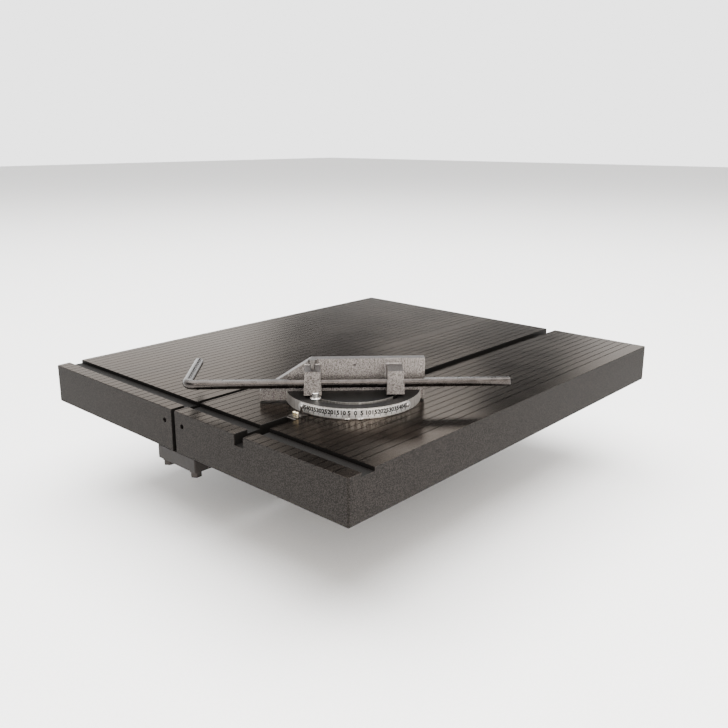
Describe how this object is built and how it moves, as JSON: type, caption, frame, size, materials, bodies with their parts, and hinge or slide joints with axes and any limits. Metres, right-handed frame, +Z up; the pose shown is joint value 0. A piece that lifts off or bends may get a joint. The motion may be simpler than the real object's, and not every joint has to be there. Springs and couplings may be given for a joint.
{
  "type": "tilting bandsaw work table with mitre gauge",
  "caption": "Grooved cast-iron bandsaw work table on a tilting trunnion, with a mitre slot and a swivelling protractor mitre gauge carrying a bent stop rod.",
  "frame": {"origin": "on the mounting face of the base, under the middle of the table", "axes": "+X along the feed direction and the mitre slot, away from the operator; +Y to the operator's left; +Z up"},
  "size_m": [0.7, 0.6, 0.25],
  "materials": {
    "planed_iron": "planed grey cast iron, dark and lightly oiled",
    "hammered_grey": "rough grey casting under thin paint",
    "painted_grey": "machine grey enamel over rough casting",
    "bright_steel": "ground and drawn steel, satin",
    "zinc_steel": "bright zinc plate",
    "scale_aluminium": "bright printed aluminium strip",
    "brass": "bright brass",
    "black_oxide": "blackened steel",
    "black_knob": "glossy phenolic"
  },
  "bodies": {
    "table": {"table_casting": "planed_iron", "throat_insert": "scale_aluminium", "insert_screws": "zinc_steel", "tie_plate": "painted_grey", "tie_plate_washers": "zinc_steel", "tie_plate_bolts": "zinc_steel", "tilt_trunnion": "painted_grey", "trunnion_washers": "zinc_steel", "trunnion_bolts": "black_oxide", "tilt_scale": "scale_aluminium", "tilt_scale_rivets": "scale_aluminium"},
    "cradle": {"tilt_cradle": "painted_grey", "tilt_pointer": "bright_steel", "tilt_pointer_screw": "zinc_steel", "clamp_stud": "black_oxide", "clamp_washer": "zinc_steel"},
    "clamp": {"clamp_lever": "bright_steel", "clamp_knob": "black_knob"},
    "bar": {"guide_bar": "bright_steel", "pivot_pin": "bright_steel", "pointer": "brass", "pointer_screws": "brass"},
    "head": {"mitre_head": "hammered_grey", "scale_strip": "scale_aluminium", "scale_rivets": "scale_aluminium"},
    "lock": {"lock_bolt": "zinc_steel", "lock_washer": "zinc_steel"},
    "rod": {"stop_rod": "bright_steel"},
    "rod_screw": {"rod_clamp_screw": "zinc_steel"}
  },
  "joints": [
    {"name": "table_tilt", "type": "hinge", "parent": "cradle", "child": "table", "pos_m": [0, 0, 0.19], "axis": [1, 0, 0], "range_deg": [-15, 15]},
    {"name": "clamp_turn", "type": "hinge", "parent": "cradle", "child": "clamp", "pos_m": [0.11, 0, 0.068], "axis": [1, 0, 0], "range_deg": [0, 30]},
    {"name": "bar_slide", "type": "slide", "parent": "table", "child": "bar", "axis": [1, 0, 0], "range_m": [-0.08, 0.35]},
    {"name": "head_swivel", "type": "hinge", "parent": "bar", "child": "head", "pos_m": [-0.159, -0.127, 0.19], "axis": [0, 0, 1], "range_deg": [-90.5, 0.5]},
    {"name": "lock_turn", "type": "hinge", "parent": "bar", "child": "lock", "pos_m": [-0.2275, -0.127, 0.19], "axis": [0, 0, 1], "range_deg": [0, 180]},
    {"name": "rod_slide", "type": "slide", "parent": "head", "child": "rod", "axis": [0.7071, -0.7071, 0], "range_m": [-0.13, 0.09]},
    {"name": "rod_screw_turn", "type": "hinge", "parent": "head", "child": "rod_screw", "pos_m": [-0.21797, -0.11243, 0.24], "axis": [0, 0, 1], "range_deg": [0, 180]}
  ]
}
